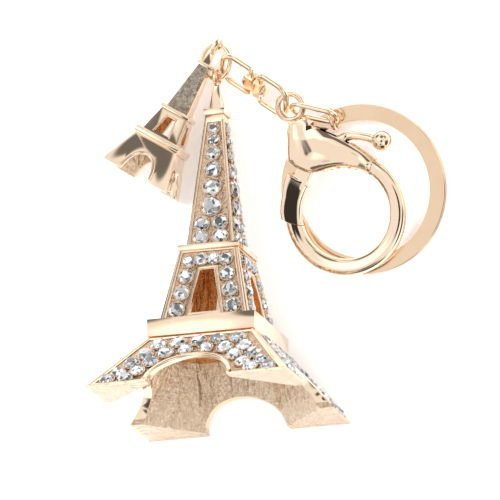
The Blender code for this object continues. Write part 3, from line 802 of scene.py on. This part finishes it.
def wires():
    """The two jump rings and the oval link."""
    path = [Vector((x, y, 0)) for x, y in circle(CHARM_RING_R, 96)]
    piece(tube(path, CHARM_RING_WIRE, 20), "charm_ring_wire", RING, WIRE, "charm_ring",
          replaces=["charm_jump_ring"])
    path = [Vector((x, y, 0)) for x, y in circle(SMALL_RING_R, 80)]
    piece(tube(path, SMALL_RING_WIRE, 18), "small_ring_wire", SMALL_RING, WIRE, "small_ring",
          replaces=["small_jump_ring"])
    path = rounded_loop(-LINK_HALF, LINK_HALF, LINK_ROUND, LINK_ROUND, LINK_ROUND)
    piece(tube(path, LINK_WIRE, 20), "oval_link_wire", LINK, WIRE, "link",
          replaces=["oval_link"])


def key_ring():
    """Two turns of flat wire lying on each other, shown by the groove round both edges."""
    inner, outer, half = 13.0, 16.0, 0.75
    slit, depth, chamfer = 0.06, 0.4, 0.09
    edge = [
        (chamfer, -half), (0.0, -half + chamfer), (0.0, -slit - chamfer), (chamfer, -slit),
        (depth, -slit * 0.2), (depth, slit * 0.2), (chamfer, slit), (0.0, slit + chamfer),
        (0.0, half - chamfer), (chamfer, half),
    ]
    section = [(outer - x, z) for x, z in edge] + [(inner + x, z) for x, z in reversed(edge)]
    piece(revolve(section, 180), "key_ring_band", KEY, BAND, "key_ring", angle=35,
          replaces=["key_ring"])


# ---------------------------------------------------------------- clasp
LOOP_CENTRE = (10.68, -19.93)
LOOP_R = 8.6
HOOK_OUT = 11.85
HOOK_HALF = 1.5
# the shoulder's outline: from under the eye to the hook's root, back below the pivot and up
SHOULDER = [
    (-0.25, -2.25), (2.75, -1.95), (5.7, -3.2), (8.83, -4.85), (11.9, -6.5), (14.8, -8.45),
    (17.3, -10.4), (15.61, -12.89), (13.62, -11.85), (10.68, -11.33), (8.45, -11.62),
    (6.6, -12.2), (4.2, -13.0), (2.4, -12.5), (-0.64, -10.9), (-0.75, -8.5), (-0.62, -5.0),
]
PIVOT = (3.67, -9.96)
SEAM_R, SEAM_GAP = 12.42, 0.1
SLOT_HALF = 1.05
NECK_HALF, SHOULDER_GAIN = 0.85, 0.97
CREASE_DEPTH, CREASE_WIDTH = 0.4, 1.5
PLATE_HALF, ARM_HALF = 0.93, 0.9
GATE_IN, GATE_OUT = 8.75, 12.7
KNEE, BALL, BALL_R = (10.5, -5.6), (17.89, -6.39), 1.95


def smooth_outline(points, rounds=3):
    """Corner cutting: the outline's corners become curves."""
    for _ in range(rounds):
        cut = []
        for i, p in enumerate(points):
            q = points[(i + 1) % len(points)]
            cut.append((p[0] * 0.78 + q[0] * 0.22, p[1] * 0.78 + q[1] * 0.22))
            cut.append((p[0] * 0.22 + q[0] * 0.78, p[1] * 0.22 + q[1] * 0.78))
        points = cut
    return points


def pillow(outline, half_at, reach, dent):
    """A solid over an outline, steep at its edge and gentle within, its upper face dented."""
    count = len(outline)
    rim = np.array(outline)
    step = 0.3
    low, high = rim.min(0), rim.max(0)
    grid = [
        Vector((low[0] + step * i, low[1] + step * j))
        for i in range(int((high[0] - low[0]) / step) + 1)
        for j in range(int((high[1] - low[1]) / step) + 1)
    ]
    flat, _, faces = geometry.delaunay_2d_cdt(
        [Vector(p) for p in outline] + grid, [], [list(range(count))], 1, 1e-5, False
    )[:3]
    points = np.array([tuple(p) for p in flat])
    a, b = rim, np.roll(rim, -1, 0)
    way = b - a
    along = ((points[:, None] - a) * way).sum(2) / (way * way).sum(1)
    nearest = a + np.clip(along, 0, 1)[:, :, None] * way
    inside = np.sqrt(((points[:, None] - nearest) ** 2).sum(2)).min(1)
    top, bottom = [], []
    for (x, y), d in zip(points, inside):
        rise = sqrt(max(0.0, 1 - (1 - min(d / reach, 1.0)) ** 4))
        half = half_at(y) * rise
        top.append((x, y, half - dent(x, y) * rise))
        bottom.append((x, y, -half))
    bm = bmesh.new()
    upper = [bm.verts.new(p) for p in top]
    lower = [bm.verts.new(p) for p in bottom]
    for face in faces:
        bm.faces.new([upper[i] for i in face])
        bm.faces.new([lower[i] for i in reversed(face)])
    bmesh.ops.delete(bm, geom=[v for v in bm.verts if not v.link_faces], context="VERTS")
    bmesh.ops.remove_doubles(bm, verts=bm.verts, dist=1e-4)
    bmesh.ops.recalc_face_normals(bm, faces=bm.faces)
    return bm


def from_line(x, y, start, stop):
    """The distance from a point to a straight run."""
    way = Vector(stop) - Vector(start)
    gone = Vector((x, y)) - Vector(start)
    t = min(max(gone.dot(way) / way.dot(way), 0.0), 1.0)
    return (gone - way * t).length


def crease(x, y):
    """The distance from the hollow that runs from under the eye round to the hook."""
    turn = (5.0, -8.2)
    return min(from_line(x, y, (3.0, -4.4), turn), from_line(x, y, turn, (13.0, -10.2)))


def polar(angle, radius):
    """A point round the loop's centre."""
    a = radians(angle)
    return (LOOP_CENTRE[0] + radius * cos(a), LOOP_CENTRE[1] + radius * sin(a))


def band(angles, inner, outer_at, half_at, slope=0.0, groove=0.0, square=0.75):
    """The loop's band: rounded, its inner side lower by the slope, a fine groove along it."""
    rings = []
    for angle in angles:
        outer, half = outer_at(angle), half_at(angle)
        mid, wide = (inner + outer) / 2, (outer - inner) / 2
        ring = []
        for i in range(48):
            t = 2 * pi * i / 48
            c, s = cos(t), sin(t)
            across = (abs(c) ** square) * (1 if c > 0 else -1)
            z = half * (abs(s) ** square) * (1 if s > 0 else -1)
            if s > 0:
                z *= 1 - slope * (1 - across) / 2
                z -= groove * exp(-(((across + 0.1) / 0.12) ** 2))
                z -= groove * 0.9 * min(max(-across * 3, 0.0), 1.0)
            x, y = polar(angle, mid + wide * across)
            ring.append((x, y, z))
        rings.append(ring)
    return loft(rings)


def sector(low, high):
    """The cutter between two circles round the pivot, where gate and nose meet."""
    outline = []
    steps = range(236, 281, 2)
    for radius, angles in ((high, steps), (low, reversed(steps))):
        for angle in angles:
            a = radians(angle)
            outline.append((PIVOT[0] + radius * cos(a), PIVOT[1] + radius * sin(a)))
    return prism(outline, -3, 3)


def star(arcs, half):
    """The slot's cutter: arcs round the pivot, each with its own reach."""
    points = []
    for start, stop, radius in arcs:
        steps = max(2, int((stop - start) / 6))
        for i in range(steps + 1):
            a = radians(start + (stop - start) * i / steps)
            points.append((PIVOT[0] + radius * cos(a), PIVOT[1] + radius * sin(a)))
    return prism(points, -half, half)


def shoulder_half(y):
    """Half the shoulder's thickness, growing from the eye downwards."""
    return NECK_HALF + SHOULDER_GAIN * min(max((-y - 1.6) / 4.2, 0.0), 1.0)


def shoulder_dent(x, y):
    """How deep the hollow is here."""
    return CREASE_DEPTH * exp(-((crease(x, y) / CREASE_WIDTH) ** 2))


def hook_outer(angle):
    """The hook's outer radius, a little less towards its root."""
    return HOOK_OUT - 0.25 * max(0.0, (angle - 20.0) / 40.0)


def hook_half(angle):
    """Half the hook's thickness, a little less towards its root."""
    return HOOK_HALF * (1 - 0.12 * min(max((angle - 30.0) / 25.0, 0.0), 1.0))


def gate_outer(angle):
    """The gate's outer radius: more towards the pivot, less towards the tip."""
    return (GATE_OUT + 1.0 * max(0.0, (165.0 - angle) / 20.0)
            - 0.5 * max(0.0, (angle - 180) / 17))


def clasp_body():
    """The eye, the shoulder and the hook as one casting, and the gate's pin."""
    shoulder = pillow(smooth_outline(SHOULDER), shoulder_half, 5.0, shoulder_dent)
    angles = [62.0 - 233.5 * i / 110 for i in range(111)]
    hook = band(angles, LOOP_R, hook_outer, hook_half, slope=0.1, groove=0.16)
    eye_section = [
        (1.9, -0.5), (2.05, -0.68), (2.3, -0.77), (2.6, -0.76), (2.86, -0.6), (3.0, -0.3),
        (3.02, 0.0), (2.98, 0.34), (2.84, 0.46), (2.74, 0.4), (2.62, 0.62), (2.42, 0.77),
        (2.14, 0.72), (1.94, 0.5), (1.86, 0.0),
    ]
    neck = prism([(-0.5, -2.6), (0.9, -2.72), (2.6, -2.1), (3.2, -3.4), (0.2, -4.2)], -0.7, 0.7)
    slot_arcs = [
        (23.5, 94.0, 12.0), (95.0, 181.0, 2.35), (182.0, 318.0, 9.0), (319.0, 357.0, 3.4),
        (358.0, 364.0, 2.6),
    ]
    hole = prism([(x, y) for x, y in circle(1.84, 40)], -2.5, 2.5)
    body = fused(
        merge(shoulder, hook, neck), 6,
        [hole, star(slot_arcs, SLOT_HALF), sector(8.5, SEAM_R + SEAM_GAP / 2)],
    )
    piece(body, "clasp_casting", CLASP, MIRROR, "clasp", angle=38,
          replaces=["clasp_body"])
    piece(revolve(eye_section, 96), "clasp_eye", CLASP, MIRROR, "clasp", angle=60)
    x, y = PIVOT
    dome = [(0.70, -1.36), (0.66, -1.42), (0.4, -1.47), (0.1, -1.5)]
    rings = [[(x + a, y + b, z) for a, b in circle(r, 28)] for r, z in reversed(dome)]
    rings += [[(x + a, y + b, -z) for a, b in circle(r, 28)] for r, z in dome]
    piece(loft(rings), "clasp_pin", CLASP, MIRROR, "clasp",
          replaces=["gate_pivot_pin"])


def clasp_gate():
    """The gate: a blade in the hook's mouth, a plate on the pin, and the thumb lever."""
    angles = [197.0 - 51.5 * i / 40 for i in range(41)]
    blade = band(angles, GATE_IN, gate_outer, lambda a: HOOK_HALF, slope=0.5, square=0.42)
    px, py = PIVOT
    plate = smooth_outline([
        (px - 2.9, py - 5.2), (px - 0.9, py - 5.4), (px + 1.3, py - 1.0), (px + 1.2, py + 1.45),
        (px - 0.4, py + 1.9), (px - 1.7, py + 0.9), (px - 2.1, py - 1.2), (px - 3.1, py - 3.4),
    ], 2)
    kx, ky = KNEE
    arm = [(px + 0.6, py - 0.9), (kx + 0.3, ky - 0.85), (kx + 0.5, ky + 0.7), (px - 0.3, py + 1.4)]
    path = [Vector((kx - 1.4, ky - 0.75, 0)), Vector((kx, ky - 0.1, 0)),
            Vector((kx + 1.6, ky + 0.22, 0)), Vector((kx + 3.2, ky + 0.1, 0)),
            Vector((kx + 4.8, ky - 0.2, 0)), Vector((BALL[0] - 1.4, BALL[1] + 0.1, 0))]
    lever = tube(path, [0.86, 0.86, 0.84, 0.82, 0.82, 0.95], 18, False)
    knob = grain(Vector((BALL[0], BALL[1], 0)), BALL_R, 20, 36)
    body = fused(
        merge(blade, prism(plate, -PLATE_HALF, PLATE_HALF),
              prism(arm, -ARM_HALF, ARM_HALF), lever, knob),
        5, [sector(SEAM_R - SEAM_GAP / 2, 17.0)],
    )
    piece(body, "clasp_gate_casting", CLASP, MIRROR, "gate", angle=38,
          replaces=["clasp_gate"])


big_tower()
small_tower()
swivel()
wires()
key_ring()
clasp_body()
clasp_gate()
NODES["gate_spring"].data.materials.clear()
NODES["gate_spring"].data.materials.append(STEEL)


# ---------------------------------------------------------------- stage, light and camera
def world():
    """A bright tent with dark flags, the first one near the camera's way, and two soft glows."""
    made = bpy.data.worlds.new("tent")
    bpy.context.scene.world = made
    made.use_nodes = True
    nodes, links = made.node_tree.nodes, made.node_tree.links
    sky = nodes["Background"]
    way = nodes.new("ShaderNodeTexCoord").outputs["Generated"]

    def lobe(direction, inner, outer):
        """1 inside the cone of this direction, 0 outside it."""
        dot = nodes.new("ShaderNodeVectorMath")
        dot.operation = "DOT_PRODUCT"
        dot.inputs[1].default_value = Vector(direction).normalized()
        links.new(way, dot.inputs[0])
        ranged = nodes.new("ShaderNodeMapRange")
        ranged.interpolation_type = "SMOOTHSTEP"
        ranged.inputs["From Min"].default_value = cos(radians(outer))
        ranged.inputs["From Max"].default_value = cos(radians(inner))
        links.new(dot.outputs["Value"], ranged.inputs["Value"])
        return ranged.outputs["Result"]

    total = None
    flags = [  # way, inner and outer angle, depth; a depth below 0 is a glow
        ((0.14, -0.05, 0.99), 9, 14, 0.96), ((1, -0.35, 0.3), 18, 30, 0.9),
        ((-0.75, 0.75, 0.3), 12, 20, 0.8), ((0.15, -1, 0.3), 16, 26, 0.9),
        ((-0.9, -0.55, 0.5), 10, 18, 0.75), ((0.6, 0.7, 0.4), 8, 15, 0.8),
        ((0.115, 0.77, 0.63), 13, 18, 0.82), ((-0.05, -0.62, 0.78), 7, 13, 0.85),
        ((-0.37, 0.33, 0.87), 3, 22, -0.6), ((0.62, -0.4, 0.68), 3, 20, -0.6),
    ]
    for direction, inner, outer, depth in flags:
        scaled = nodes.new("ShaderNodeMath")
        scaled.operation = "MULTIPLY_ADD"
        scaled.inputs[1].default_value = -depth
        scaled.inputs[2].default_value = 1.0
        links.new(lobe(direction, inner, outer), scaled.inputs[0])
        if total is None:
            total = scaled.outputs[0]
            continue
        product = nodes.new("ShaderNodeMath")
        product.operation = "MULTIPLY"
        links.new(total, product.inputs[0])
        links.new(scaled.outputs[0], product.inputs[1])
        total = product.outputs[0]
    sky.inputs["Color"].default_value = (1.0, 1.0, 1.0, 1)
    links.new(total, sky.inputs["Strength"])


def area(name, at, towards, size, power):
    """A square light, left out of reflections."""
    light = bpy.data.lights.new(name, "AREA")
    light.size = size
    light.energy = power
    obj = bpy.data.objects.new(name, light)
    obj.location = at
    obj.rotation_mode = "QUATERNION"
    obj.rotation_quaternion = (Vector(towards) - Vector(at)).to_track_quat("-Z", "Y")
    obj.visible_glossy = False
    bpy.context.scene.collection.objects.link(obj)


PAPER_HALF = 0.6


def floor():
    """The white paper under the charm."""
    mesh = bpy.data.meshes.new("paper")
    low, far = min(cad_low.z, 0.0), PAPER_HALF
    mesh.from_pydata(
        [(-far, -far, low), (far, -far, low), (far, far, low), (-far, far, low)], [],
        [(0, 1, 2, 3)],
    )
    obj = bpy.data.objects.new("paper", mesh)
    bpy.context.scene.collection.objects.link(obj)
    mat, nodes, links, shader, where = material("white_paper")
    fibre = blotches(nodes, links, where, 300)
    links.new(two_tone(nodes, links, fibre, (0.95, 0.95, 0.95), (0.97, 0.97, 0.97)),
              shader.inputs["Base Color"])
    links.new(spread(nodes, links, fibre, 0.7, 0.85), shader.inputs["Roughness"])
    shader.inputs["Specular IOR Level"].default_value = 0.1
    shader.inputs["Emission Color"].default_value = (1.0, 1.0, 1.0, 1)
    shader.inputs["Emission Strength"].default_value = 0.3
    mesh.materials.append(mat)


LEAN = radians(17.0)
VIEW_WIDTH, VIEW_DISTANCE = 0.094, 0.4
VIEW_MIDDLE = (-0.006604, -0.002015, 0)


def camera():
    """Looks down at the table, leaning a little to the clasp's side."""
    back = Vector((sin(LEAN), 0, cos(LEAN)))
    right = Vector((cos(LEAN), 0, -sin(LEAN)))
    lens = bpy.data.cameras.new("camera")
    lens.type = "ORTHO"
    lens.ortho_scale = VIEW_WIDTH
    lens.clip_start, lens.clip_end = 0.01, 2.0
    obj = bpy.data.objects.new("camera", lens)
    turn = Matrix((right, Vector((0, 1, 0)), back)).transposed().to_4x4()
    obj.matrix_world = Matrix.Translation(Vector(VIEW_MIDDLE) + back * VIEW_DISTANCE) @ turn
    bpy.context.scene.collection.objects.link(obj)
    bpy.context.scene.camera = obj


world()
floor()
area("key", (-0.18, 0.16, 0.42), (0, 0, 0), size=0.22, power=1.3)
area("fill", (0.25, -0.2, 0.3), (0, 0, 0), size=0.16, power=0.5)
camera()
bpy.context.scene.view_settings.view_transform = "Standard"
